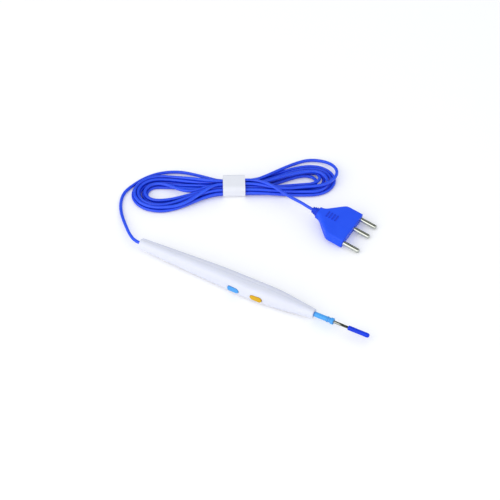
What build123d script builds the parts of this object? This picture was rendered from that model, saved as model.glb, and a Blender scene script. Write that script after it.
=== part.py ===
from build123d import *
import math
import os

# Handle, measured along its axis from the rear face
HANDLE_LENGTH = 164.8
REAR_SIZE = 9.2
BELLY_SIZE = 14.8
NOSE_SIZE = 8.0
NOSE_RUN = 34.5
BELLY_RUN = 56.0
BELLY_BLEND = 1.0
BELLY_FLAT = 3.2
END_FLAT = 0.3
REAR_ROUND = 1.2
NOSE_ROUND = 0.7
WALL = 1.8
CAVITY_START = 5.0
SEAM_WIDTH = 0.16
SEAM_DEPTH = 0.3
SEAM_INSET = 2.4
SKIN_SECTIONS = 13
LOCATORS_AT = (40.0, 62.0)
LOCATOR_ASIDE = 2.9
LOCATOR_DIAMETER = 1.2
LOCATOR_LENGTH = 1.8
LOCATOR_FIT = 0.1
BOSS_DIAMETER = 2.4

# Raised panel that carries the two buttons
SADDLE_RISE = 1.6
SADDLE_LENGTH = 62.0

# Buttons: the rear one coagulates, the front one cuts
CUT_BACK = 50.0
BUTTON_PITCH = 21.3
BUTTON_LENGTH = 10.8
BUTTON_WIDTH = 5.0
BUTTON_PROUD = 0.9
BUTTON_ROUND = 0.8
BUTTON_GAP = 0.2
BUTTON_TRAVEL = 0.6
BUTTON_REST_GAP = 0.1
COLLAR_WALL = 0.7
COLLAR_DROP = 0.9
FLANGE_RIM = 0.55
FLANGE_THICK = 0.8
PLUNGER_DIAMETER = 2.6

# Switch board and its snap domes
BOARD_LENGTH = 44.0
BOARD_WIDTH = 8.0
BOARD_THICK = 1.0
BOARD_CORNER = 0.8
BOARD_LIFT = 2.6
DOME_DIAMETER = 6.0
DOME_RISE = 0.7
DOME_THICK = 0.25
POST_LENGTH = 2.2
POST_WIDTH = 6.0
POST_INSET = 6.0
PEG_LENGTH = 2.0
PEG_WIDTH = 1.4
PEG_FIT = 0.1
HOLD_DOWN = 1.6

# Electrode: steel shaft flattened into a blade, with an insulating sleeve
ELECTRODE_LENGTH = 69.8
ELECTRODE_INSERT = 20.6
SHAFT_DIAMETER = 2.36
SHAFT_BARE = 5.0
BLADE_TAPER = 3.0
BLADE_WIDTH = 2.4
BLADE_THICK = 0.5
SLEEVE_DIAMETER = 4.3
SLEEVE_INSERT = 5.6
SLEEVE_REACH = 17.8
SLEEVE_FIT = 0.05
SLEEVE_ROUND = 0.25
RIDGE_DIAMETER = 5.1
RIDGE_LENGTH = 1.0
RIDGE_BACK = 6.0
COLLAR_DIAMETER = 5.5
COLLAR_LENGTH = 2.8

# Guard pushed over the blade
GUARD_DIAMETER = 3.9
GUARD_LENGTH = 19.0
GUARD_TIP_WALL = 0.9
GUARD_FIT = 0.1
GUARD_MOUTH_ROUND = 0.3

# Brass socket with a contact tail reaching the board
SOCKET_DIAMETER = 4.2
SOCKET_LENGTH = 20.0
SOCKET_FIT = 0.03
TAIL_WIDTH = 2.4
TAIL_THICK = 0.5
TAIL_LAP = 4.0

# Cord, its grip inside the rear end and its three wires
CORD_DIAMETER = 2.8
CORD_FIT = 0.1
JACKET_END = 26.0
GRIP_START = 15.5
GRIP_LENGTH = 6.0
GRIP_DIAMETER = 5.6
GRIP_FIT = 0.03
GRIP_RIB = 2.0
GRIP_PLAY = 0.1
WIRE_DIAMETER = 0.85
WIRE_PITCH = 0.9
WIRE_SPREAD = 2.3
WIRE_LAP = 4.0
WIRE_RISE = 14.0

# Plug with three pins in line
PIN_DIAMETER = 4.0
PIN_LENGTH = 15.5
PIN_TIP_ROUND = 1.8
PIN_ROOT = 8.0
PIN_ROOT_DIAMETER = 3.0
PIN_FIT = 0.03
PIN_SEAM_WIDTH = 0.3
PIN_SEAM_DEPTH = 0.25
PIN_GAP_SHORT = 12.7
PIN_GAP_LONG = 19.05
PLUG_WIDTH = 38.0
PLUG_THICK = 9.6
PLUG_LENGTH = 38.4
PLUG_CHEEK = 15.5
PLUG_BLEND = 5.0
PLUG_NECK = 11.0
PLUG_NECK_RUN = 3.6
PLUG_EDGE = 0.6
PLUG_CORNER = 2.2
PLUG_SECTIONS = 15
BOOT_LENGTH = 5.2
BOOT_FRONT_DIAMETER = 8.0
BOOT_REAR_DIAMETER = 4.8
BOOT_RINGS = 3
RING_GROOVE = 0.45
GRIP_BARS = 4
GRIP_BAR_PITCH = 2.8
GRIP_BAR_LENGTH = 6.5
GRIP_BAR_WIDTH = 1.0
GRIP_BAR_RISE = 0.4
GRIP_BAR_FRONT = 16.2
PLUG_FRONT_X = 39.4
PLUG_Y = 102.4

# Hank of cord and its paper band
HANK_X = -73.8
HANK_Y = 100.5
HANK_TURN = 30.5
BAND_LENGTH = 19.0
BAND_THICK = 0.3
BAND_FIT = 0.05
WAIST_WIDTH = 18.8
WAIST_HEIGHT = 10.8
WAIST_ROUND = 3.55
HANK_SIDE = 0.7
HANK_FOOT = 0.15
# Sections of the two lobes: along the hank, aside, width, height
LEFT_LOBE = [
    (-24, 0.9, 26.5, 9.4), (-44, -3.1, 36.5, 6.8), (-66, -4.1, 43, 5.8),
    (-82, -4, 30, 5.2), (-88, -4, 12.5, 3.2),
]
RIGHT_LOBE = [
    (24, 1.7, 21, 9.4), (44, 8.8, 36.5, 7.0), (66, 12.5, 44.5, 7.2),
    (82, 10.5, 34.5, 5.4), (88, 9.2, 21.5, 3.2),
]

# Route of the cord's two free stretches, lying on the floor and over the hank
PENCIL_LEAD = [
    (-121.4, 6.1, 6.3), (-132.5, 16.8, 3.9), (-142.6, 27.2, 2.1), (-150.3, 38.0, 1.5),
    (-154.6, 50.5, 1.45), (-152.4, 62.0, 1.5), (-148.2, 74.5, 1.5), (-140.0, 86.6, 1.6),
    (-125.5, 96.3, 1.9), (-107.8, 99.1, 2.9), (-96.6, 99.8, 3.8),
]
PLUG_LEAD = [
    (-66.6, 108.2, 9.8), (-56.4, 112.2, 10.2), (-44.0, 112.6, 10.8),
    (-32.0, 109.0, 11.2), (-20.0, 106.0, 12.0), (-9.5, 104.0, 12.9),
]
EXIT_RUN = 5.6

# Values that follow from the sizes above
BELLY_END = HANDLE_LENGTH - NOSE_RUN
BELLY_START = BELLY_END - BELLY_RUN
CUT_AT = HANDLE_LENGTH - CUT_BACK
COAG_AT = CUT_AT - BUTTON_PITCH
SADDLE_AT = (COAG_AT + CUT_AT) / 2
BUTTONS = {"coag": COAG_AT, "cut": CUT_AT}
ELECTRODE_START = HANDLE_LENGTH - ELECTRODE_INSERT
ELECTRODE_END = ELECTRODE_START + ELECTRODE_LENGTH
SLEEVE_START = HANDLE_LENGTH - SLEEVE_INSERT
SLEEVE_END = HANDLE_LENGTH + SLEEVE_REACH
SOCKET_END = SLEEVE_START - 2 * SLEEVE_FIT
SOCKET_START = SOCKET_END - SOCKET_LENGTH
CAVITY_END = SOCKET_START + TAIL_LAP + WALL
GUARD_END = ELECTRODE_END + GUARD_FIT + GUARD_TIP_WALL


# Handle form
def saddle(s):
    off = min(abs(s - SADDLE_AT) / (SADDLE_LENGTH / 2), 1.0)
    return SADDLE_RISE * (0.5 + 0.5 * math.cos(math.pi * off))


def soft_low(a, b, blend):
    near = max(blend - abs(a - b), 0.0) / blend
    return min(a, b) - near * near * blend / 4


def soft_high(a, b, blend):
    return -soft_low(-a, -b, blend)


def handle_size(s):
    behind = s / BELLY_START
    ahead = (HANDLE_LENGTH - s) / (HANDLE_LENGTH - BELLY_END)
    rear = REAR_SIZE + (BELLY_SIZE - REAR_SIZE) * behind
    nose = NOSE_SIZE + (BELLY_SIZE - NOSE_SIZE) * ahead
    return soft_low(soft_low(rear, BELLY_SIZE, BELLY_BLEND), nose, BELLY_BLEND)


def flat_width(s):
    low = min(REAR_SIZE, NOSE_SIZE)
    share = (handle_size(s) - low) / (BELLY_SIZE - low)
    return END_FLAT + (BELLY_FLAT - END_FLAT) * max(share, 0.0)


PANEL_DEPTH = BELLY_SIZE / 2 + saddle(CUT_AT)
BUTTON_TOP = PANEL_DEPTH + BUTTON_PROUD
COLLAR_FLOOR = PANEL_DEPTH - WALL - COLLAR_DROP
FLANGE_TOP = COLLAR_FLOOR - BUTTON_REST_GAP
BOARD_FRONT = BOARD_LIFT + BOARD_THICK
BOARD_START = SADDLE_AT - BOARD_LENGTH / 2
BOARD_END = SADDLE_AT + BOARD_LENGTH / 2
PLUNGER_END = BOARD_FRONT + DOME_RISE + BUTTON_TRAVEL + BUTTON_REST_GAP
PEGS = (BOARD_START + POST_INSET, BOARD_END - POST_INSET)
LIE = Pos(-GUARD_END / 2, (BUTTON_TOP - BELLY_SIZE / 2) / 2, BELLY_SIZE / 2)
CORD_EXIT = LIE.position


# Shared makers: s runs along the handle, depth runs from its axis to the button side
def ring_plane(s):
    return Plane(origin=(s, 0, 0), x_dir=(0, 1, 0), z_dir=(1, 0, 0))


def panel_plane(depth):
    return Plane(origin=(0, -depth, 0), x_dir=(1, 0, 0), z_dir=(0, -1, 0))


def rod(diameter, start, stop):
    return Pos((start + stop) / 2, 0, 0) * Rot(0, 90, 0) * Cylinder(diameter / 2, stop - start)


def block(start, stop, low, high, width):
    middle = Pos((start + stop) / 2, -(low + high) / 2, 0)
    return middle * Box(stop - start, high - low, width)


def pill(at, length, width, low, high):
    return extrude(panel_plane(low) * Pos(at, 0) * SlotOverall(length, width), high - low)


def skin(inset, start, stop):
    sections = []
    for k in range(SKIN_SECTIONS):
        s = start + (stop - start) * k / (SKIN_SECTIONS - 1)
        size = handle_size(s) - 2 * inset
        corner = (handle_size(s) - flat_width(s)) / 2 - inset
        outline = RectangleRounded(size + saddle(s), size, corner)
        sections.append(ring_plane(s) * Pos(-saddle(s) / 2, 0) * outline)
    return loft(sections)


# Handle halves: one moulded shell, parted along the axis
def locator(at, aside, diameter, low, high):
    return extrude(panel_plane(low) * Pos(at, aside) * Circle(diameter / 2), high - low)


def locator_places():
    return [(at, side * LOCATOR_ASIDE) for at in LOCATORS_AT for side in (-1, 1)]


def inner_ribs():
    behind = GRIP_START - GRIP_PLAY
    ahead = GRIP_START + GRIP_LENGTH + GRIP_PLAY
    wide = 2 * BELLY_SIZE
    ribs = block(behind - GRIP_RIB, behind, -wide, wide, wide)
    ribs += block(ahead, ahead + GRIP_RIB, -wide, wide, wide)
    for at, aside in locator_places():
        ribs += locator(at, aside, BOSS_DIAMETER, -wide, wide)
    return ribs & skin(WALL / 2, CAVITY_START, CAVITY_END)


def moulded_shell():
    outer = skin(0, 0, HANDLE_LENGTH)
    ends = outer.faces().sort_by(Axis.X)
    body = fillet(ends[0].edges(), REAR_ROUND)
    ends = body.faces().sort_by(Axis.X)
    body = fillet(ends[-1].edges(), NOSE_ROUND)
    shell = body - skin(WALL, CAVITY_START, CAVITY_END)
    shell += inner_ribs()
    shell -= rod(CORD_DIAMETER + 2 * CORD_FIT, 0, JACKET_END + GRIP_RIB)
    shell -= rod(SOCKET_DIAMETER + 2 * SOCKET_FIT, CAVITY_END - WALL, SOCKET_END + SLEEVE_FIT)
    shell -= rod(SLEEVE_DIAMETER + 2 * SLEEVE_FIT, SOCKET_END + SLEEVE_FIT, HANDLE_LENGTH)
    ends = SEAM_INSET, HANDLE_LENGTH - SEAM_INSET
    seam = block(*ends, -SEAM_WIDTH / 2, SEAM_WIDTH / 2, 2 * BELLY_SIZE)
    return shell - (seam - skin(SEAM_DEPTH, 0, HANDLE_LENGTH))


def half(shape, side):
    wide = 2 * BELLY_SIZE
    low, high = sorted((0, side * wide))
    return shape & block(-WALL, HANDLE_LENGTH + WALL, low, high, wide)


def mid_wall(s):
    return (handle_size(s) - WALL) / 2


def button_shell(shell):
    part = half(shell, 1)
    for at in BUTTONS.values():
        hole = BUTTON_LENGTH + 2 * BUTTON_GAP, BUTTON_WIDTH + 2 * BUTTON_GAP
        rim = hole[0] + 2 * COLLAR_WALL, hole[1] + 2 * COLLAR_WALL
        part += pill(at, *rim, COLLAR_FLOOR, PANEL_DEPTH - WALL / 2)
        part -= pill(at, *hole, 0, BUTTON_TOP + WALL)
    for start in (BOARD_START, BOARD_END - HOLD_DOWN):
        root = mid_wall(start) + saddle(start)
        part += block(start, start + HOLD_DOWN, BOARD_FRONT, root, BOARD_WIDTH)
    for at, aside in locator_places():
        part += locator(at, aside, LOCATOR_DIAMETER, -LOCATOR_LENGTH, LOCATOR_FIT)
    return part


def back_shell(shell):
    part = half(shell, -1)
    for at in PEGS:
        start, stop = at - POST_LENGTH / 2, at + POST_LENGTH / 2
        part += block(start, stop, -mid_wall(at), BOARD_LIFT, POST_WIDTH)
        part += pill(at, PEG_LENGTH, PEG_WIDTH, BOARD_LIFT - PEG_WIDTH, BOARD_FRONT)
    for at, aside in locator_places():
        hole = LOCATOR_DIAMETER + 2 * LOCATOR_FIT
        part -= locator(at, aside, hole, -LOCATOR_LENGTH - LOCATOR_FIT, LOCATOR_FIT)
    return part


# Buttons and switch
def button(at):
    rim = BUTTON_LENGTH + 2 * FLANGE_RIM, BUTTON_WIDTH + 2 * FLANGE_RIM
    cap = pill(at, BUTTON_LENGTH, BUTTON_WIDTH, FLANGE_TOP, BUTTON_TOP)
    cap = fillet(cap.faces().sort_by(Axis.Y)[0].edges(), BUTTON_ROUND)
    cap += pill(at, *rim, FLANGE_TOP - FLANGE_THICK, FLANGE_TOP)
    plunger = panel_plane(PLUNGER_END) * Pos(at, 0) * Circle(PLUNGER_DIAMETER / 2)
    return cap + extrude(plunger, FLANGE_TOP - FLANGE_THICK - PLUNGER_END)


def switch_board():
    outline = Pos(SADDLE_AT, 0) * RectangleRounded(BOARD_LENGTH, BOARD_WIDTH, BOARD_CORNER)
    for at in PEGS:
        outline -= Pos(at, 0) * SlotOverall(PEG_LENGTH + 2 * PEG_FIT, PEG_WIDTH + 2 * PEG_FIT)
    return extrude(panel_plane(BOARD_LIFT) * outline, BOARD_THICK)


def dome(at):
    radius = (DOME_DIAMETER ** 2 / 4 + DOME_RISE ** 2) / (2 * DOME_RISE)
    centre = Pos(at, -(BOARD_FRONT + DOME_RISE - radius), 0)
    reach = DOME_DIAMETER
    above = block(at - reach, at + reach, BOARD_FRONT, BOARD_FRONT + reach, 2 * reach)
    return centre * (Sphere(radius) - Sphere(radius - DOME_THICK)) & above


# Electrode, socket and guard
def electrode():
    taper_start = SLEEVE_END + SHAFT_BARE
    taper_end = taper_start + BLADE_TAPER
    thick, slim = SHAFT_DIAMETER, BLADE_THICK / 2
    side = Polyline(
        (ELECTRODE_START, -thick), (taper_start, -thick / 2), (taper_end, -slim),
        (taper_end, slim), (taper_start, thick / 2), (ELECTRODE_START, thick), close=True,
    )
    wedge = extrude(Plane.XZ * make_face(side), thick, both=True)
    shaft = rod(SHAFT_DIAMETER, ELECTRODE_START, taper_end) & wedge
    flat = Pos((taper_start + ELECTRODE_END) / 2, 0)
    flat *= SlotOverall(ELECTRODE_END - taper_start, BLADE_WIDTH)
    return shaft + extrude(flat, slim, both=True)


def electrode_sleeve():
    ridge = SLEEVE_END - RIDGE_BACK
    part = rod(SLEEVE_DIAMETER, SLEEVE_START, SLEEVE_END)
    part += fillet(rod(RIDGE_DIAMETER, ridge, ridge + RIDGE_LENGTH).edges(), SLEEVE_ROUND)
    collar = rod(COLLAR_DIAMETER, SLEEVE_END - COLLAR_LENGTH, SLEEVE_END)
    part += fillet(collar.edges(), 2 * SLEEVE_ROUND)
    return part - rod(SHAFT_DIAMETER + 2 * SOCKET_FIT, SLEEVE_START, SLEEVE_END)


def tip_guard():
    start = GUARD_END - GUARD_LENGTH
    part = rod(GUARD_DIAMETER, start, GUARD_END)
    part = fillet(part.edges().sort_by(Axis.X)[-1], GUARD_DIAMETER * 0.45)
    part = fillet(part.edges().sort_by(Axis.X)[0], GUARD_MOUTH_ROUND)
    return part - rod(BLADE_WIDTH + 2 * GUARD_FIT, start, GUARD_END - GUARD_TIP_WALL)


def electrode_socket():
    tail_top = SOCKET_DIAMETER / 2 - TAIL_THICK
    bend = (BOARD_END + SOCKET_START) / 2
    path = Polyline(
        (SOCKET_START + TAIL_LAP, -tail_top), (bend, -tail_top),
        (BOARD_END, -(BOARD_LIFT - TAIL_THICK)), (BOARD_END - TAIL_LAP, -(BOARD_LIFT - TAIL_THICK)),
        (BOARD_END - TAIL_LAP, -BOARD_LIFT), (BOARD_END, -BOARD_LIFT),
        (bend, -tail_top - TAIL_THICK), (SOCKET_START + TAIL_LAP, -tail_top - TAIL_THICK), close=True,
    )
    part = rod(SOCKET_DIAMETER, SOCKET_START, SOCKET_END)
    part += extrude(make_face(path), TAIL_WIDTH / 2, both=True)
    return part - rod(SHAFT_DIAMETER + 2 * SOCKET_FIT, SOCKET_START, SOCKET_END)


# Cord end, grip and wires inside the handle
def cord_grip():
    ring = rod(GRIP_DIAMETER, GRIP_START, GRIP_START + GRIP_LENGTH)
    return ring - rod(CORD_DIAMETER + 2 * GRIP_FIT, GRIP_START, GRIP_START + GRIP_LENGTH)


def wire(lane):
    seat = -(BOARD_LIFT - WIRE_DIAMETER / 2 - PEG_FIT / 2)
    start, stop = BOARD_START - WIRE_RISE, BOARD_START
    points = [
        (JACKET_END, 0, lane * WIRE_PITCH),
        (start, 0, lane * WIRE_PITCH),
        (stop, seat, lane * WIRE_SPREAD),
        (stop + WIRE_LAP, seat, lane * WIRE_SPREAD),
    ]
    return tube(points, WIRE_DIAMETER)


def tube(points, diameter):
    points = [Vector(*p) for p in points]
    legs = [b - a for a, b in zip(points, points[1:])]
    radii = []
    for before, after in zip(legs, legs[1:]):
        turn = math.radians(before.get_angle(after))
        radii.append(0.45 * min(before.length, after.length) / math.tan(turn / 2))
    path = FilletPolyline(*points, radius=radii)
    section = Plane(origin=points[0], z_dir=legs[0]) * Circle(diameter / 2)
    solid = sweep(section, path=path)
    share = solid.volume / (math.pi * diameter ** 2 / 4 * path.length)
    print(f"tube of {diameter} mm: radii {[round(r) for r in radii]}, volume share {share:.4f}")
    return solid


# Plug: rests on its front edge and the pin tips, with the boot held up by the cord
def plug_tilt():
    drop = PLUG_THICK / 2 - PLUG_EDGE - PIN_DIAMETER / 2 + PIN_TIP_ROUND
    reach = PIN_LENGTH - PIN_TIP_ROUND + PLUG_EDGE
    return math.acos((PIN_TIP_ROUND - PLUG_EDGE) / math.hypot(drop, reach)) - math.atan2(reach, drop)


TILT = plug_tilt()
PLUG_LIFT = (PLUG_THICK / 2 - PLUG_EDGE) * math.cos(TILT) + PLUG_EDGE - PLUG_EDGE * math.sin(TILT)
PLUG_AT = Pos(PLUG_FRONT_X, PLUG_Y, PLUG_LIFT) * Rot(0, math.degrees(TILT), 0)
NECK_AT = BOOT_LENGTH - PLUG_LENGTH
PIN_SPAN = PIN_GAP_SHORT + PIN_GAP_LONG
PINS = {"far": PIN_SPAN / 2, "middle": PIN_SPAN / 2 - PIN_GAP_SHORT, "near": -PIN_SPAN / 2}


def plug_size(x, neck, full):
    start = NECK_AT + PLUG_NECK_RUN
    taper = neck + (full - neck) * (x - start) / (-PLUG_CHEEK - start)
    blend = PLUG_BLEND * full / PLUG_WIDTH
    return soft_low(soft_high(taper, neck, blend), full, blend)


def plug_body():
    sections = []
    for k in range(PLUG_SECTIONS):
        x = NECK_AT * k / (PLUG_SECTIONS - 1)
        wide = plug_size(x, PLUG_NECK, PLUG_WIDTH)
        tall = plug_size(x, BOOT_FRONT_DIAMETER, PLUG_THICK)
        share = min(max((-x - PLUG_CHEEK) / (-NECK_AT - PLUG_CHEEK), 0.0), 1.0)
        corner = PLUG_CORNER + (0.49 * BOOT_FRONT_DIAMETER - PLUG_CORNER) * share
        sections.append(ring_plane(x) * RectangleRounded(wide, tall, corner))
    part = loft(sections)
    part = fillet(part.faces().sort_by(Axis.X)[-1].edges(), PLUG_EDGE)
    part += boot() + grip_bars()
    for y in PINS.values():
        part -= Pos(0, y, 0) * rod(PIN_ROOT_DIAMETER + 2 * PIN_FIT, -PIN_ROOT - PIN_FIT, 0)
    return part


def boot():
    pitch = BOOT_LENGTH / BOOT_RINGS
    slope = (BOOT_FRONT_DIAMETER - BOOT_REAR_DIAMETER) / 2 / BOOT_LENGTH
    points = [(NECK_AT + pitch, 0), (NECK_AT + pitch, BOOT_FRONT_DIAMETER / 2 - RING_GROOVE)]
    for k in range(BOOT_RINGS):
        near, far = NECK_AT - pitch * (k + 0.4), NECK_AT - pitch * (k + 1)
        radius = BOOT_FRONT_DIAMETER / 2 - slope * (NECK_AT - near)
        points += [(near, radius - RING_GROOVE), (near, radius), (far, radius), (far, radius - RING_GROOVE)]
    points[-1] = (-PLUG_LENGTH, 0)
    return revolve(make_face(Polyline(*points, close=True)), Axis.X)


def grip_bars():
    bars = []
    for k in range(GRIP_BARS):
        x = -GRIP_BAR_FRONT - GRIP_BAR_PITCH * k
        tall = plug_size(x, BOOT_FRONT_DIAMETER, PLUG_THICK) + 2 * GRIP_BAR_RISE
        bars.append(Pos(x, 0, 0) * Box(GRIP_BAR_WIDTH, GRIP_BAR_LENGTH, tall))
    return bars


def plug_pin(y):
    pin = rod(PIN_DIAMETER, 0, PIN_LENGTH)
    pin = fillet(pin.edges().sort_by(Axis.X)[-1], PIN_TIP_ROUND)
    pin += rod(PIN_ROOT_DIAMETER, -PIN_ROOT, 0)
    seam = Box(PIN_LENGTH, PIN_SEAM_WIDTH, 2 * PIN_SEAM_DEPTH)
    return Pos(0, y, 0) * (pin - Pos(PIN_LENGTH / 2, 0, PIN_DIAMETER / 2) * seam)


# Hank, band and free cord
HANK_AT = Pos(HANK_X, HANK_Y, 0) * Rot(0, 0, HANK_TURN)
WAIST_LIFT = BAND_THICK + BAND_FIT + WAIST_HEIGHT / 2


def waist_outline(grow):
    size = WAIST_WIDTH + 2 * grow, WAIST_HEIGHT + 2 * grow
    return Pos(0, WAIST_LIFT) * RectangleRounded(*size, WAIST_ROUND + grow)


def cord_hank():
    end = BAND_LENGTH / 2
    part = extrude(ring_plane(-end) * waist_outline(0), BAND_LENGTH)
    for lobe, waist in ((LEFT_LOBE, -end), (RIGHT_LOBE, end)):
        sections = [ring_plane(waist) * waist_outline(0)]
        for along, aside, wide, tall in lobe:
            outline = RectangleRounded(wide, tall, (tall - HANK_SIDE) / 2)
            sections.append(ring_plane(along) * Pos(aside, HANK_FOOT + tall / 2) * outline)
        part += loft(sections)
    return part


def tie_band():
    outline = waist_outline(BAND_FIT + BAND_THICK) - waist_outline(BAND_FIT)
    return extrude(ring_plane(-BAND_LENGTH / 2) * outline, BAND_LENGTH)


def cord_pencil_lead():
    exit_end = CORD_EXIT - Vector(EXIT_RUN, 0, 0)
    return tube([CORD_EXIT, exit_end, *PENCIL_LEAD], CORD_DIAMETER)


def cord_plug_lead():
    entry = (PLUG_AT * Pos(-PLUG_LENGTH, 0, 0)).position
    before = (PLUG_AT * Pos(-PLUG_LENGTH - EXIT_RUN, 0, 0)).position
    return tube([*PLUG_LEAD, before, entry], CORD_DIAMETER)


def main():
    shell = moulded_shell()
    pencil = {
        "button_shell": button_shell(shell),
        "back_shell": back_shell(shell),
        "coag_button": button(COAG_AT),
        "cut_button": button(CUT_AT),
        "switch_board": switch_board(),
        "coag_dome": dome(COAG_AT),
        "cut_dome": dome(CUT_AT),
        "electrode": electrode(),
        "electrode_sleeve": electrode_sleeve(),
        "electrode_socket": electrode_socket(),
        "tip_guard": tip_guard(),
        "cord_grip": cord_grip(),
        "cord_inner_end": rod(CORD_DIAMETER, 0, JACKET_END),
    }
    for lane, name in enumerate(("wire_active", "wire_cut", "wire_coag"), -1):
        pencil[name] = wire(lane)
    plug = {"plug_body": plug_body()}
    for name, y in PINS.items():
        plug["plug_pin_" + name] = plug_pin(y)
    nodes = {name: LIE * shape for name, shape in pencil.items()}
    nodes.update({name: PLUG_AT * shape for name, shape in plug.items()})
    nodes["cord_hank"] = HANK_AT * cord_hank()
    nodes["tie_band"] = HANK_AT * tie_band()
    nodes["cord_pencil_lead"] = cord_pencil_lead()
    nodes["cord_plug_lead"] = cord_plug_lead()
    os.makedirs("parts", exist_ok=True)
    for name, shape in nodes.items():
        export_step(shape, f"parts/{name}.step")
    print(len(nodes), "pieces")


main()
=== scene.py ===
import math
import bpy
import numpy as np
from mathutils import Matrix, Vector


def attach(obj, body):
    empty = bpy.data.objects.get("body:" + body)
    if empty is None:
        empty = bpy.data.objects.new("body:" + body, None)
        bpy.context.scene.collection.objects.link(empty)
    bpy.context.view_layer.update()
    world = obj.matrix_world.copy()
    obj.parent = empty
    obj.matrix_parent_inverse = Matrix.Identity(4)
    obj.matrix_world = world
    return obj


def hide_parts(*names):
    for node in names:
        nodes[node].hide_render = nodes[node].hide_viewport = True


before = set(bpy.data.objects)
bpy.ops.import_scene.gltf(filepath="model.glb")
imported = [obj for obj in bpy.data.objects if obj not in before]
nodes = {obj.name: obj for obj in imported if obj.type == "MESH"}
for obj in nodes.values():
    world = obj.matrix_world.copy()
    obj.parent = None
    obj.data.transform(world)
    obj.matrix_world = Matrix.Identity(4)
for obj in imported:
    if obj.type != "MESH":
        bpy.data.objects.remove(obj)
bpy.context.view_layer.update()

scene = bpy.context.scene
mm = 0.001
print("stage 1: frame loaded,", len(nodes), "pieces")


# Cord: one spline from the handle, through the hank and into the plug, in millimetres
cordMake = {
    "diameter": 2.8,
    "between": 0.05,  # room left between strands
    "overFloor": 0.02,
    "stepsAlong": 5,
    "stepsRound": 3,
    "lengthSteps": 9,
    "exit": (-107.5, 1.039, 7.4),
    "pencilLead": [
        (-113.1, 1.039, 7.4), (-121.4, 6.1, 6.3), (-132.5, 16.8, 3.9), (-142.6, 27.2, 2.1),
        (-150.3, 38.0, 1.5), (-154.6, 50.5, 1.45), (-152.4, 62.0, 1.5), (-148.2, 74.5, 1.5),
        (-140.0, 86.6, 1.6), (-125.5, 96.3, 1.9), (-107.8, 99.1, 2.9), (-96.6, 99.8, 3.8),
    ],
    "plugLead": [
        (-66.6, 108.2, 9.8), (-56.4, 112.2, 10.2), (-44.0, 112.6, 10.8), (-32.0, 109.0, 11.2),
        (-20.0, 106.0, 12.0), (-9.5, 104.0, 12.9), (-3.793, 102.4, 12.998),
        (1.7045, 102.4, 11.9304),
    ],
}

# Hank: places of the passes under the band (aside, row), then each loop's
# reach, far aside, near aside, far height, near height, far bow, near bow
hankMake = {
    "at": (-73.8, 100.5),
    "turn": math.radians(30.5),
    "bandReach": 12.0,
    "bandPlay": 0.1,
    "foldRadius": 8.6,
    "longestFold": 1.15,  # of a loop's half width
    "pitch": 2.93,
    "rowPitch": 0.875,  # of the pitch
    "lowestRow": 1.75,
    "partEarly": 4,  # strands begin to part this far inside the band's reach
    "downBy": 0.88,  # of the way to the fold
    "foldLift": 1.4,
    "branchSteps": 12,
    "foldSteps": 9,
    "farPasses": [
        (2.5, 1), (2, 0), (1.5, 1), (1, 0), (0.5, 1), (0, 0), (0, 2), (1, 2), (0.5, 3),
    ],
    "nearPasses": [
        (-2.5, 1), (-2, 0), (-1.5, 1), (-1, 0), (-0.5, 1), (-1, 2), (-2, 2), (-0.5, 3),
    ],
    "leftLoops": [
        (87.0, 15.4, -24.8, 1.5, 1.5, 0, 0), (84.2, 12.6, -21.9, 1.5, 1.5, 0, 0),
        (81.2, 9.8, -19.0, 1.5, 1.5, 0, 0), (78.0, 7.0, -16.2, 1.5, 1.5, 0, 0),
        (75.0, 4.2, -13.2, 1.5, 1.5, 0, 0), (76.6, 5.6, -14.8, 4.2, 4.2, -9, 0),
        (82.6, 11.2, -20.4, 4.2, 4.2, 0, 2), (85.6, 14.0, -23.4, 4.2, 4.2, 0, -4),
    ],
    "rightLoops": [
        (87.0, 26.5, -8.4, 1.5, 1.5, 0, 0), (84.0, 23.7, -5.6, 1.5, 1.5, 0, 0),
        (81.0, 20.9, -2.8, 1.5, 1.5, 0, 0), (77.8, 18.1, 0.0, 1.5, 1.5, 0, 0),
        (74.2, 17.6, 0.2, 4.2, 4.2, 0, 0), (70.8, 15.2, -2.8, 1.5, 4.2, -2, 0),
        (80.6, 14.6, -7.0, 6.9, 4.2, 0, 0), (89.4, 34.0, -3.4, 1.5, 6.5, 0, -3),
    ],
}

# How strands that start in each other are moved apart
settleMake = {
    "rounds": 200,
    "nextTo": 4,  # points this near along the cord don't push each other
    "push": 0.5,
    "leastGap": 0.05,
    "weights": (0.25, 0.5, 0.25),
    "keep": 0.7,
    "smooth": 0.3,
}


def ease(t):
    t = min(max(t, 0.0), 1.0)
    return t * t * (3 - 2 * t)


def passPlace(slot):
    pitch = hankMake["pitch"]
    return slot[0] * pitch, hankMake["lowestRow"] + slot[1] * pitch * hankMake["rowPitch"]


def branchPoints(side, slot, width, height, knee, bow):
    start, early = hankMake["bandReach"], hankMake["partEarly"]
    last = hankMake["branchSteps"] - 1
    aside, up = passPlace(slot)
    points = []
    for k in range(hankMake["branchSteps"]):
        along = start + (knee - start) * k / last
        spread = ease((along - start + early) / (knee - start + early))
        drop = ease((along - start) / (hankMake["downBy"] * knee - start))
        lean = bow * math.sin(math.pi * k / last) ** 2
        place = aside + (width - aside) * spread + lean
        points.append((side * along, place, up + (height - up) * drop))
    return points


def foldPoints(side, knee, reach, first, last, firstHeight, lastHeight):
    count = hankMake["foldSteps"]
    middle = (first + last) / 2
    points = []
    for k in range(1, count + 1):
        turn = math.pi * k / (count + 1)
        share = k / (count + 1)
        along = knee + (reach - knee) * math.sin(turn)
        aside = middle + (first - middle) * math.cos(turn)
        height = firstHeight + (lastHeight - firstHeight) * ease(hankMake["foldLift"] * share)
        points.append((side * along, aside, height))
    return points


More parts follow.
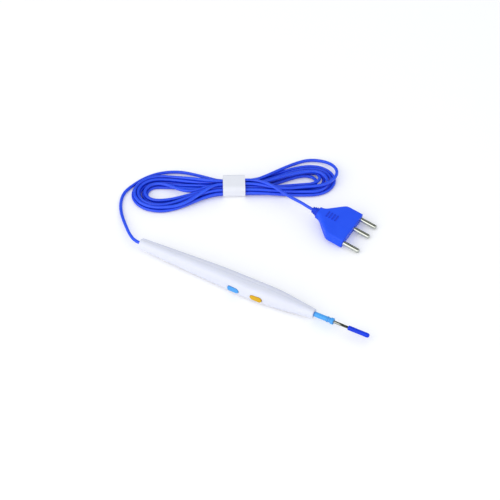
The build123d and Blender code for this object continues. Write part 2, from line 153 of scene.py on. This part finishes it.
def loopPoints(side, loop, farSlot, nearSlot):
    reach, far, near, farHeight, nearHeight, farBow, nearBow = loop
    half = (far - near) / 2
    knee = reach - min(hankMake["longestFold"] * half, half * half / hankMake["foldRadius"])
    out = branchPoints(side, farSlot, far, farHeight, knee, farBow)
    fold = foldPoints(side, knee, reach, far, near, farHeight, nearHeight)
    back = branchPoints(side, nearSlot, near, nearHeight, knee, nearBow)
    return out + fold + back[::-1]


def hankPoints():
    farSlots, nearSlots = hankMake["farPasses"], hankMake["nearPasses"]
    points = [(-hankMake["bandReach"], *passPlace(farSlots[0]))]
    for k, (right, left) in enumerate(zip(hankMake["rightLoops"], hankMake["leftLoops"])):
        points += loopPoints(1, right, farSlots[k], nearSlots[k])
        points += loopPoints(-1, left, farSlots[k + 1], nearSlots[k])[::-1]
    return points


def toFrame(points):
    cosine, sine = math.cos(hankMake["turn"]), math.sin(hankMake["turn"])
    x, y = hankMake["at"]
    return [(x + h * cosine - v * sine, y + h * sine + v * cosine, z) for h, v, z in points]


def settle(points, fixed, gap, floor):
    # Strands that lie in each other move apart, and the shift is spread along the cord
    base = np.array(points)
    free = 1.0 - np.array(fixed, float)[:, None]
    first, second = np.triu_indices(len(base), settleMake["nextTo"])
    before, here, after = settleMake["weights"]
    move = np.zeros_like(base)
    for _ in range(settleMake["rounds"]):
        now = base + move
        away = now[first] - now[second]
        far = np.linalg.norm(away, axis=1)
        hit = far < gap
        lack = settleMake["push"] * (gap - far[hit])
        push = away[hit] * (lack / np.maximum(far[hit], settleMake["leastGap"]))[:, None]
        shift, count = np.zeros_like(base), np.ones(len(base))
        for ends, sign in ((first[hit], 1), (second[hit], -1)):
            np.add.at(shift, ends, sign * push)
            np.add.at(count, ends, 1)
        move += free * shift / np.sqrt(count)[:, None]
        move[:, 2] = np.maximum(move[:, 2], free[:, 0] * (floor - base[:, 2]))
        spread = move.copy()
        spread[1:-1] = before * move[:-2] + here * move[1:-1] + after * move[2:]
        move = free * (settleMake["keep"] * move + settleMake["smooth"] * spread)
    return (base + move).tolist()


def makeCord():
    diameter = cordMake["diameter"]
    lead, turns, tail = cordMake["pencilLead"], hankPoints(), cordMake["plugLead"]
    points = [cordMake["exit"], *lead, *toFrame(turns), *tail]
    held = [abs(h) <= hankMake["bandReach"] + hankMake["bandPlay"] for h, v, z in turns]
    fixed = [True] * (len(lead) + 1) + held + [True] * len(tail)
    gap, floor = diameter + cordMake["between"], diameter / 2 + cordMake["overFloor"]
    points = settle(points, fixed, gap, floor)
    curve = bpy.data.curves.new("cord", "CURVE")
    curve.dimensions = "3D"
    curve.resolution_u = cordMake["stepsAlong"]
    curve.bevel_depth = 1.0  # the points carry the real radius
    curve.bevel_resolution = cordMake["stepsRound"]
    curve.use_fill_caps = True
    spline = curve.splines.new("NURBS")
    spline.points.add(len(points) - 1)
    for point, (x, y, z) in zip(spline.points, points):
        point.co = (x * mm, y * mm, z * mm, 1.0)
        point.radius = diameter / 2 * mm
    spline.order_u = 3
    spline.use_endpoint_u = True
    cord = bpy.data.objects.new("cord", curve)
    scene.collection.objects.link(cord)
    return cord, points


def splineLength(points):
    line = np.array(points)
    ends = (line[:-1] + line[1:]) / 2
    total = np.linalg.norm(ends[0] - line[0]) + np.linalg.norm(line[-1] - ends[-1])
    t = np.linspace(0, 1, cordMake["lengthSteps"])[:, None]
    for a, b, c in zip(ends[:-1], line[1:-1], ends[1:]):
        bend = (1 - t) ** 2 * a + 2 * t * (1 - t) * b + t * t * c
        total += np.linalg.norm(np.diff(bend, axis=0), axis=1).sum()
    return total * mm


cord, cordPoints = makeCord()
cordLength = splineLength(cordPoints)
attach(cord, "pencil")
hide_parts("cord_pencil_lead", "cord_hank", "cord_plug_lead")
print("stage 2: cord of", round(cordLength, 3), "m on", len(cordPoints), "points")


# Shared surface effects
effectMake = {
    "patchScale": 4.0,  # gloss patches against the tone drift
    "glossShares": (0.35, 0.65),  # fine grain, patches
    "edgeGain": 6.0,
    "spotGain": 1.4,
    "edgeSamples": 4,
    "shadeSamples": 8,
    "metalToneScale": 120.0,
    "metalToneShares": (0.5, 0.5),  # lines, tone
    "noiseSpan": (0.3, 0.7),  # where most values of a noise lie
}


def shaderGroup(name, inputs, outputs):
    group = bpy.data.node_groups.new(name, "ShaderNodeTree")
    kind = "NodeSocketFloat"
    for label, value in inputs.items():
        socket = group.interface.new_socket(label, in_out="INPUT", socket_type=kind)
        socket.default_value = value
    for label in outputs:
        group.interface.new_socket(label, in_out="OUTPUT", socket_type=kind)
    return group, group.nodes.new("NodeGroupInput"), group.nodes.new("NodeGroupOutput")


def addNode(tree, kind, values=None, **settings):
    node = tree.nodes.new(kind)
    for key, value in settings.items():
        setattr(node, key, value)
    for key, value in (values or {}).items():
        node.inputs[key].default_value = value
    return node


def feed(tree, socket, value):
    # A link where the value comes from another node, and otherwise a plain value
    if hasattr(value, "links"):
        tree.links.new(value, socket)
    else:
        socket.default_value = value


def objectPlace(tree):
    return addNode(tree, "ShaderNodeTexCoord").outputs["Object"]


def noiseOn(tree, vector, scale, detail, rough):
    node = addNode(tree, "ShaderNodeTexNoise", {"Detail": detail, "Roughness": rough})
    tree.links.new(vector, node.inputs["Vector"])
    feed(tree, node.inputs["Scale"], scale)
    return node.outputs["Fac"]


def mathOn(tree, operation, first, second, clamp=False):
    node = addNode(tree, "ShaderNodeMath", operation=operation, use_clamp=clamp)
    feed(tree, node.inputs[0], first)
    feed(tree, node.inputs[1], second)
    return node.outputs[0]


def sumOn(tree, first, second, shares):
    firstPart = mathOn(tree, "MULTIPLY", first, shares[0])
    secondPart = mathOn(tree, "MULTIPLY", second, shares[1])
    return mathOn(tree, "ADD", firstPart, secondPart)


def mouldSkin():
    # Fine grain, slow tone drift and uneven gloss of moulded plastic
    group, come, go = shaderGroup(
        "mouldSkin", {"Grain Scale": 1500.0, "Drift Scale": 30.0}, ["Height", "Tone", "Gloss"])
    place = objectPlace(group)
    fine = noiseOn(group, place, come.outputs["Grain Scale"], detail=3.0, rough=0.6)
    drift = noiseOn(group, place, come.outputs["Drift Scale"], detail=3.0, rough=0.55)
    scale = mathOn(group, "MULTIPLY", come.outputs["Drift Scale"], effectMake["patchScale"])
    patch = noiseOn(group, place, scale, detail=2.0, rough=0.6)
    gloss = sumOn(group, fine, patch, effectMake["glossShares"])
    for value, label in ((fine, "Height"), (drift, "Tone"), (gloss, "Gloss")):
        group.links.new(value, go.inputs[label])
    return group


def edgeRub():
    # Mask of the edges, broken up by noise
    group, come, go = shaderGroup("edgeRub", {"Radius": 0.0004, "Break Scale": 260.0}, ["Mask"])
    rounded = addNode(group, "ShaderNodeBevel", samples=effectMake["edgeSamples"])
    group.links.new(come.outputs["Radius"], rounded.inputs["Radius"])
    flat = addNode(group, "ShaderNodeNewGeometry")
    dot = addNode(group, "ShaderNodeVectorMath", operation="DOT_PRODUCT")
    group.links.new(rounded.outputs["Normal"], dot.inputs[0])
    group.links.new(flat.outputs["Normal"], dot.inputs[1])
    bend = mathOn(group, "SUBTRACT", 1.0, dot.outputs["Value"])
    edge = mathOn(group, "MULTIPLY", bend, effectMake["edgeGain"], clamp=True)
    noise = noiseOn(group, objectPlace(group), come.outputs["Break Scale"], detail=4.0, rough=0.65)
    spots = mathOn(group, "MULTIPLY", noise, effectMake["spotGain"])
    group.links.new(mathOn(group, "MULTIPLY", edge, spots, clamp=True), go.inputs["Mask"])
    return group


def settledDust():
    # Faint film on faces that look up
    group, come, go = shaderGroup("settledDust", {"Amount": 0.1, "Scale": 90.0}, ["Mask"])
    parts = addNode(group, "ShaderNodeSeparateXYZ")
    group.links.new(addNode(group, "ShaderNodeNewGeometry").outputs["Normal"], parts.inputs[0])
    spots = noiseOn(group, objectPlace(group), come.outputs["Scale"], detail=5.0, rough=0.7)
    up = mathOn(group, "MAXIMUM", parts.outputs["Z"], 0.0)
    film = mathOn(group, "MULTIPLY", up, spots)
    mask = mathOn(group, "MULTIPLY", film, come.outputs["Amount"], clamp=True)
    group.links.new(mask, go.inputs["Mask"])
    return group


def shadeGroup(name, reach, inside):
    group, come, go = shaderGroup(name, {"Reach": reach, "Strength": 1.0}, ["Mask"])
    near = addNode(
        group, "ShaderNodeAmbientOcclusion", samples=effectMake["shadeSamples"], inside=inside)
    group.links.new(come.outputs["Reach"], near.inputs["Distance"])
    shut = mathOn(group, "SUBTRACT", 1.0, near.outputs["AO"])
    mask = mathOn(group, "MULTIPLY", shut, come.outputs["Strength"], clamp=True)
    group.links.new(mask, go.inputs["Mask"])
    return group


def closeShade():
    # Painted shade: deeper tone where surfaces lie close together
    return shadeGroup("closeShade", reach=0.003, inside=False)


def thinShade():
    # Painted shade where the plastic is thin, as on raised bars and rings
    return shadeGroup("thinShade", reach=0.001, inside=True)


def drawnLines():
    # Lines left along drawn or turned metal
    group, come, go = shaderGroup(
        "drawnLines", {"Scale": 900.0, "Stretch": 0.02}, ["Height", "Tone"])
    place = objectPlace(group)
    long = addNode(group, "ShaderNodeCombineXYZ", {"Y": 1.0, "Z": 1.0})
    group.links.new(come.outputs["Stretch"], long.inputs["X"])
    pull = addNode(group, "ShaderNodeVectorMath", operation="MULTIPLY")
    group.links.new(place, pull.inputs[0])
    group.links.new(long.outputs[0], pull.inputs[1])
    lines = noiseOn(group, pull.outputs[0], come.outputs["Scale"], detail=4.0, rough=0.65)
    tone = noiseOn(group, place, effectMake["metalToneScale"], detail=3.0, rough=0.6)
    group.links.new(lines, go.inputs["Height"])
    mixed = sumOn(group, lines, tone, effectMake["metalToneShares"])
    group.links.new(mixed, go.inputs["Tone"])
    return group


effects = (mouldSkin, edgeRub, settledDust, closeShade, thinShade, drawnLines)
groups = {make.__name__: make() for make in effects}
print("stage 3: surface effects", sorted(groups))


# Materials
mixFirst, mixSecond, mixResult = 6, 7, 2  # the Mix node's colour sockets


def groupNode(tree, name, values):
    return addNode(tree, "ShaderNodeGroup", values, node_tree=groups[name])


def tint(tree, factor, first, second):
    node = addNode(tree, "ShaderNodeMix", data_type="RGBA")
    tree.links.new(factor, node.inputs["Factor"])
    for key, value in ((mixFirst, first), (mixSecond, second)):
        feed(tree, node.inputs[key], value if hasattr(value, "links") else (*value, 1.0))
    return node.outputs[mixResult]


def spanOn(tree, value, low, high):
    least, most = effectMake["noiseSpan"]
    span = {"From Min": least, "From Max": most, "To Min": low, "To Max": high}
    node = addNode(tree, "ShaderNodeMapRange", span)
    tree.links.new(value, node.inputs["Value"])
    return node.outputs["Result"]


def bumpOn(tree, height, shader, strength, depth):
    bump = addNode(tree, "ShaderNodeBump", {"Strength": strength, "Distance": depth})
    tree.links.new(height, bump.inputs["Height"])
    tree.links.new(bump.outputs["Normal"], shader.inputs["Normal"])


def startMaterial(name):
    material = bpy.data.materials.new(name)
    material.use_nodes = True
    tree = material.node_tree
    return material, tree, tree.nodes["Principled BSDF"]


plasticMake = {
    "rubShare": 0.5,
    "dustTone": (0.82, 0.83, 0.85),
    "softRadius": (0.6, 0.7, 1.0),
    "softScale": 0.0015,
    "grainDepth": 0.00006,
}


def plastic(name, make):
    material, tree, shader = startMaterial(name)
    skinValues = {"Grain Scale": make["grain"], "Drift Scale": make["drift"]}
    skin = groupNode(tree, "mouldSkin", skinValues)
    rub = groupNode(tree, "edgeRub", {"Radius": make["edge"]})
    dust = groupNode(tree, "settledDust", {"Amount": make["dust"]})
    shade = groupNode(tree, "closeShade", {"Reach": make["reach"], "Strength": make["shade"]})
    tone = spanOn(tree, skin.outputs["Tone"], 0.0, 1.0)
    worn = mathOn(tree, "MULTIPLY", rub.outputs["Mask"], plasticMake["rubShare"])
    colour = tint(tree, tone, make["deep"], make["base"])
    colour = tint(tree, worn, colour, make["worn"])
    # Painted shade in gaps, grooves and between strands
    colour = tint(tree, shade.outputs["Mask"], colour, make["shadeColour"])
    # Painted shade on thin raised bars and rings
    if "thin" in make:
        reach, strength = make["thin"]
        thin = groupNode(tree, "thinShade", {"Reach": reach, "Strength": strength})
        colour = tint(tree, thin.outputs["Mask"], colour, make["shadeColour"])
    colour = tint(tree, dust.outputs["Mask"], colour, plasticMake["dustTone"])
    tree.links.new(colour, shader.inputs["Base Color"])
    low, high = make["rough"]
    tree.links.new(spanOn(tree, skin.outputs["Gloss"], low, high), shader.inputs["Roughness"])
    shader.inputs["Specular IOR Level"].default_value = make.get("specular", 0.5)
    shader.inputs["Subsurface Weight"].default_value = make.get("soft", 0.0)
    shader.inputs["Subsurface Radius"].default_value = plasticMake["softRadius"]
    shader.inputs["Subsurface Scale"].default_value = plasticMake["softScale"]
    bumpOn(tree, skin.outputs["Height"], shader, make["bump"], plasticMake["grainDepth"])
    return material


metalMake = {"rubRadius": 0.0002, "rubShare": 0.6, "lineDepth": 0.00003}


def metal(name, make):
    material, tree, shader = startMaterial(name)
    lineValues = {"Scale": make["scale"], "Stretch": make["stretch"]}
    lines = groupNode(tree, "drawnLines", lineValues)
    rub = groupNode(tree, "edgeRub", {"Radius": metalMake["rubRadius"]})
    tone = spanOn(tree, lines.outputs["Tone"], 0.0, 1.0)
    worn = mathOn(tree, "MULTIPLY", rub.outputs["Mask"], metalMake["rubShare"])
    colour = tint(tree, tone, make["deep"], make["base"])
    colour = tint(tree, worn, colour, make["worn"])
    tree.links.new(colour, shader.inputs["Base Color"])
    low, high = make["rough"]
    tree.links.new(spanOn(tree, lines.outputs["Tone"], low, high), shader.inputs["Roughness"])
    shader.inputs["Metallic"].default_value = 1.0
    bumpOn(tree, lines.outputs["Height"], shader, make["bump"], metalMake["lineDepth"])
    return material


def paper(name, make):
    # Coated paper with fibres and faint soft creases
    material, tree, shader = startMaterial(name)
    place = objectPlace(tree)
    fibre = noiseOn(tree, place, make["fibreScale"], detail=6.0, rough=0.75)
    crease = noiseOn(tree, place, make["creaseScale"], detail=2.0, rough=0.4)
    dust = groupNode(tree, "settledDust", {"Amount": make["dust"]})
    colour = tint(tree, spanOn(tree, fibre, 0.0, 1.0), make["deep"], make["base"])
    colour = tint(tree, dust.outputs["Mask"], colour, make["deep"])
    tree.links.new(colour, shader.inputs["Base Color"])
    low, high = make["rough"]
    tree.links.new(spanOn(tree, fibre, low, high), shader.inputs["Roughness"])
    nap = mathOn(tree, "MULTIPLY", fibre, make["fibreRise"])
    bumpOn(tree, mathOn(tree, "ADD", nap, crease), shader, make["bump"], make["depth"])
    return material


# shadeColour is the colour of the painted shade in gaps and on thin parts
plastics = {
    "handle": {
        "base": (0.745, 0.768, 0.868), "deep": (0.715, 0.738, 0.848),
        "worn": (0.78, 0.81, 0.91), "shadeColour": (0.44, 0.48, 0.60),
        "grain": 1800.0, "drift": 22.0, "edge": 0.0005, "dust": 0.03,
        "reach": 0.002, "shade": 0.5,
        "rough": (0.32, 0.44), "specular": 0.4, "bump": 0.25, "soft": 0.1,
    },
    "coagBlue": {
        "base": (0.065, 0.37, 0.86), "deep": (0.055, 0.33, 0.80),
        "worn": (0.20, 0.55, 0.98), "shadeColour": (0.015, 0.10, 0.36),
        "grain": 2200.0, "drift": 60.0, "edge": 0.0004, "dust": 0.015,
        "reach": 0.0015, "shade": 1.3,
        "rough": (0.28, 0.40), "specular": 0.4, "bump": 0.25, "soft": 0.1,
    },
    "cutYellow": {
        "base": (0.71, 0.42, 0.008), "deep": (0.66, 0.37, 0.006),
        "worn": (0.92, 0.60, 0.08), "shadeColour": (0.36, 0.16, 0.002),
        "grain": 2200.0, "drift": 60.0, "edge": 0.0004, "dust": 0.01,
        "reach": 0.0015, "shade": 1.3,
        "rough": (0.30, 0.42), "specular": 0.2, "bump": 0.25, "soft": 0.1,
    },
    "sleeveBlue": {
        "base": (0.07, 0.40, 0.89), "deep": (0.055, 0.35, 0.84),
        "worn": (0.20, 0.56, 0.98), "shadeColour": (0.015, 0.12, 0.45),
        "grain": 2400.0, "drift": 70.0, "edge": 0.0003, "dust": 0.015,
        "reach": 0.0012, "shade": 2.2,
        "rough": (0.25, 0.36), "specular": 0.4, "bump": 0.2, "soft": 0.15,
    },
    "guardBlue": {
        "base": (0.002, 0.045, 0.75), "deep": (0.001, 0.034, 0.65),
        "worn": (0.01, 0.08, 0.82), "shadeColour": (0.001, 0.008, 0.30),
        "grain": 2400.0, "drift": 80.0, "edge": 0.0003, "dust": 0.004,
        "reach": 0.002, "shade": 0.5,
        "rough": (0.24, 0.36), "specular": 0.22, "bump": 0.2,
    },
    "jacket": {
        "base": (0.010, 0.092, 0.95), "deep": (0.007, 0.068, 0.85),
        "worn": (0.03, 0.14, 0.96), "shadeColour": (0.001, 0.010, 0.60),
        "grain": 2600.0, "drift": 40.0, "edge": 0.0002, "dust": 0.008,
        "reach": 0.003, "shade": 1.15,
        "rough": (0.28, 0.40), "specular": 0.6, "bump": 0.2,
    },
    "plugBlue": {
        "base": (0.008, 0.092, 0.98), "deep": (0.006, 0.076, 0.92),
        "worn": (0.05, 0.17, 0.97), "shadeColour": (0.002, 0.022, 0.55),
        "grain": 1700.0, "drift": 45.0, "edge": 0.0003, "dust": 0.008,
        "reach": 0.0012, "shade": 0.4, "thin": (0.0007, 2.6),  # thin: reach, strength
        "rough": (0.36, 0.48), "specular": 0.3, "bump": 0.3,
    },
    "board": {
        "base": (0.03, 0.20, 0.09), "deep": (0.02, 0.15, 0.06),
        "worn": (0.25, 0.35, 0.2), "shadeColour": (0.005, 0.06, 0.02),
        "grain": 1500.0, "drift": 90.0, "edge": 0.0002, "dust": 0.03,
        "reach": 0.002, "shade": 0.5,
        "rough": (0.35, 0.5), "bump": 0.2,
    },
}
metals = {
    "steel": {
        "base": (0.42, 0.44, 0.41), "deep": (0.30, 0.32, 0.29), "worn": (0.7, 0.7, 0.7),
        "scale": 1600.0, "stretch": 0.02, "rough": (0.2, 0.32), "bump": 0.2,
    },
    "nickel": {
        "base": (0.62, 0.65, 0.61), "deep": (0.48, 0.51, 0.47), "worn": (0.9, 0.9, 0.87),
        "scale": 1400.0, "stretch": 0.03, "rough": (0.06, 0.13), "bump": 0.1,
    },
    "brass": {
        "base": (0.75, 0.55, 0.22), "deep": (0.60, 0.42, 0.15), "worn": (0.9, 0.75, 0.4),
        "scale": 1400.0, "stretch": 0.05, "rough": (0.2, 0.35), "bump": 0.15,
    },
}
paperMake = {
    "base": (0.86, 0.875, 0.92), "deep": (0.78, 0.80, 0.86), "dust": 0.05,
    "fibreScale": 2600.0, "fibreRise": 0.2, "creaseScale": 70.0,
    "rough": (0.5, 0.75), "bump": 0.35, "depth": 0.0004,
}
finishes = {name: plastic(name, make) for name, make in plastics.items()}
finishes.update({name: metal(name, make) for name, make in metals.items()})
finishes["paper"] = paper("paper", paperMake)

wears = {
    "handle": ["button_shell", "back_shell"],
    "coagBlue": ["coag_button", "wire_coag"],
    "cutYellow": ["cut_button", "wire_cut"],
    "sleeveBlue": ["electrode_sleeve"],
    "guardBlue": ["tip_guard"],
    "jacket": ["cord_inner_end", "wire_active"],
    "plugBlue": ["plug_body"],
    "board": ["switch_board"],
    "steel": ["electrode", "coag_dome", "cut_dome"],
    "nickel": ["plug_pin_far", "plug_pin_middle", "plug_pin_near"],
    "brass": ["electrode_socket", "cord_grip"],
    "paper": ["tie_band"],
}


def dress(piece, finish):
    piece.data.materials.clear()
    piece.data.materials.append(finishes[finish])


for finish, names in wears.items():
    for name in names:
        dress(nodes[name], finish)
dress(cord, "jacket")
print("stage 4: materials on", sum(map(len, wears.values())) + 1, "pieces")


# Floor, world and soft studio light
white = (1.0, 1.0, 1.0)
floorMake = {
    "size": 3.0,
    "height": -0.0001,
    "tone": (0.96, 0.96, 0.96),
    "rough": 0.9,
    "specular": 0.1,
    "lift": 0.1,
}


def paleFloor():
    size = floorMake["size"]
    corners = [(-size, -size, 0), (size, -size, 0), (size, size, 0), (-size, size, 0)]
    mesh = bpy.data.meshes.new("floor")
    mesh.from_pydata(corners, [], [(0, 1, 2, 3)])
    floor = bpy.data.objects.new("floor", mesh)
    floor.location.z = floorMake["height"]
    scene.collection.objects.link(floor)
    material, tree, shader = startMaterial("paleFloor")
    shader.inputs["Base Color"].default_value = (*floorMake["tone"], 1.0)
    shader.inputs["Roughness"].default_value = floorMake["rough"]
    shader.inputs["Specular IOR Level"].default_value = floorMake["specular"]
    # More white for the camera alone: the shadow stays and the object gets no extra light
    shader.inputs["Emission Color"].default_value = (*white, 1.0)
    path = addNode(tree, "ShaderNodeLightPath")
    lift = mathOn(tree, "MULTIPLY", path.outputs["Is Camera Ray"], floorMake["lift"])
    tree.links.new(lift, shader.inputs["Emission Strength"])
    mesh.materials.append(material)


worldMake = {
    "light": (0.925, 0.955, 1.0),
    "strength": 0.86,
    "toCeiling": (-0.35, 0.63, 0.695),
    "ceilingEdge": (0.25, 0.5),
    "ceilingTone": (0.09, 0.10, 0.085),
    "mirrorStrength": 0.95,
}


def whiteWorld():
    # White to the camera, soft light on the object, and a dark ceiling that shiny faces show
    world = bpy.data.worlds.new("studio")
    scene.world = world
    world.use_nodes = True
    tree = world.node_tree
    path = addNode(tree, "ShaderNodeLightPath")
    light = tree.nodes["Background"]
    light.inputs["Color"].default_value = (*worldMake["light"], 1.0)
    light.inputs["Strength"].default_value = worldMake["strength"]
    toCeiling = addNode(tree, "ShaderNodeVectorMath", operation="DOT_PRODUCT")
    way = addNode(tree, "ShaderNodeTexCoord").outputs["Generated"]
    tree.links.new(way, toCeiling.inputs[0])
    toCeiling.inputs[1].default_value = worldMake["toCeiling"]
    least, most = worldMake["ceilingEdge"]
    edge = {"From Min": least, "From Max": most}
    ceiling = addNode(tree, "ShaderNodeMapRange", edge, interpolation_type="SMOOTHSTEP")
    tree.links.new(toCeiling.outputs["Value"], ceiling.inputs["Value"])
    mirrored = addNode(
        tree, "ShaderNodeBackground", {"Strength": worldMake["mirrorStrength"]})
    tone = tint(tree, ceiling.outputs["Result"], white, worldMake["ceilingTone"])
    tree.links.new(tone, mirrored.inputs["Color"])
    seen = addNode(tree, "ShaderNodeBackground", {"Color": (*white, 1.0), "Strength": 1.0})
    camera, through = path.outputs["Is Camera Ray"], path.outputs["Is Transmission Ray"]
    shown = mathOn(tree, "MAXIMUM", camera, through)
    result = light.outputs[0]
    for share, other in ((path.outputs["Is Glossy Ray"], mirrored), (shown, seen)):
        blend = addNode(tree, "ShaderNodeMixShader")
        tree.links.new(share, blend.inputs[0])
        tree.links.new(result, blend.inputs[1])
        tree.links.new(other.outputs[0], blend.inputs[2])
        result = blend.outputs[0]
    tree.links.new(result, tree.nodes["World Output"].inputs["Surface"])


lampMake = {
    "place": (-0.35, -1.25, 0.85),
    "aim": (-0.03, 0.05, 0.0),
    "size": (2.3, 1.8),
    "power": 13.2,
    "colour": (1.0, 0.945, 0.89),
}


def frontLight():
    lamp = bpy.data.lights.new("frontLight", "AREA")
    lamp.shape = "RECTANGLE"
    lamp.size, lamp.size_y = lampMake["size"]
    lamp.energy = lampMake["power"]
    lamp.color = lampMake["colour"]
    light = bpy.data.objects.new("frontLight", lamp)
    light.location = lampMake["place"]
    way = Vector(lampMake["aim"]) - Vector(lampMake["place"])
    light.rotation_euler = way.to_track_quat("-Z", "Y").to_euler()
    scene.collection.objects.link(light)


paleFloor()
whiteWorld()
frontLight()
print("stage 5: floor and light")


# Camera
cameraMake = {
    "sensor": 36.0,
    "lens": 171.4,
    "aim": (-0.02717, 0.04497, 0.0),
    "azimuth": math.radians(29.088),
    "elevation": math.radians(46.0),
    "distance": 2.0,
}


def makeCamera():
    data = bpy.data.cameras.new("camera")
    data.sensor_width = cameraMake["sensor"]
    data.lens = cameraMake["lens"]
    data.dof.use_dof = False
    camera = bpy.data.objects.new("camera", data)
    azimuth, elevation = cameraMake["azimuth"], cameraMake["elevation"]
    back = Vector((
        math.sin(azimuth) * math.cos(elevation),
        -math.cos(azimuth) * math.cos(elevation),
        math.sin(elevation),
    ))
    camera.location = Vector(cameraMake["aim"]) + back * cameraMake["distance"]
    camera.rotation_euler = (-back).to_track_quat("-Z", "Y").to_euler()
    scene.collection.objects.link(camera)
    scene.camera = camera


makeCamera()
scene.view_settings.view_transform = "Standard"
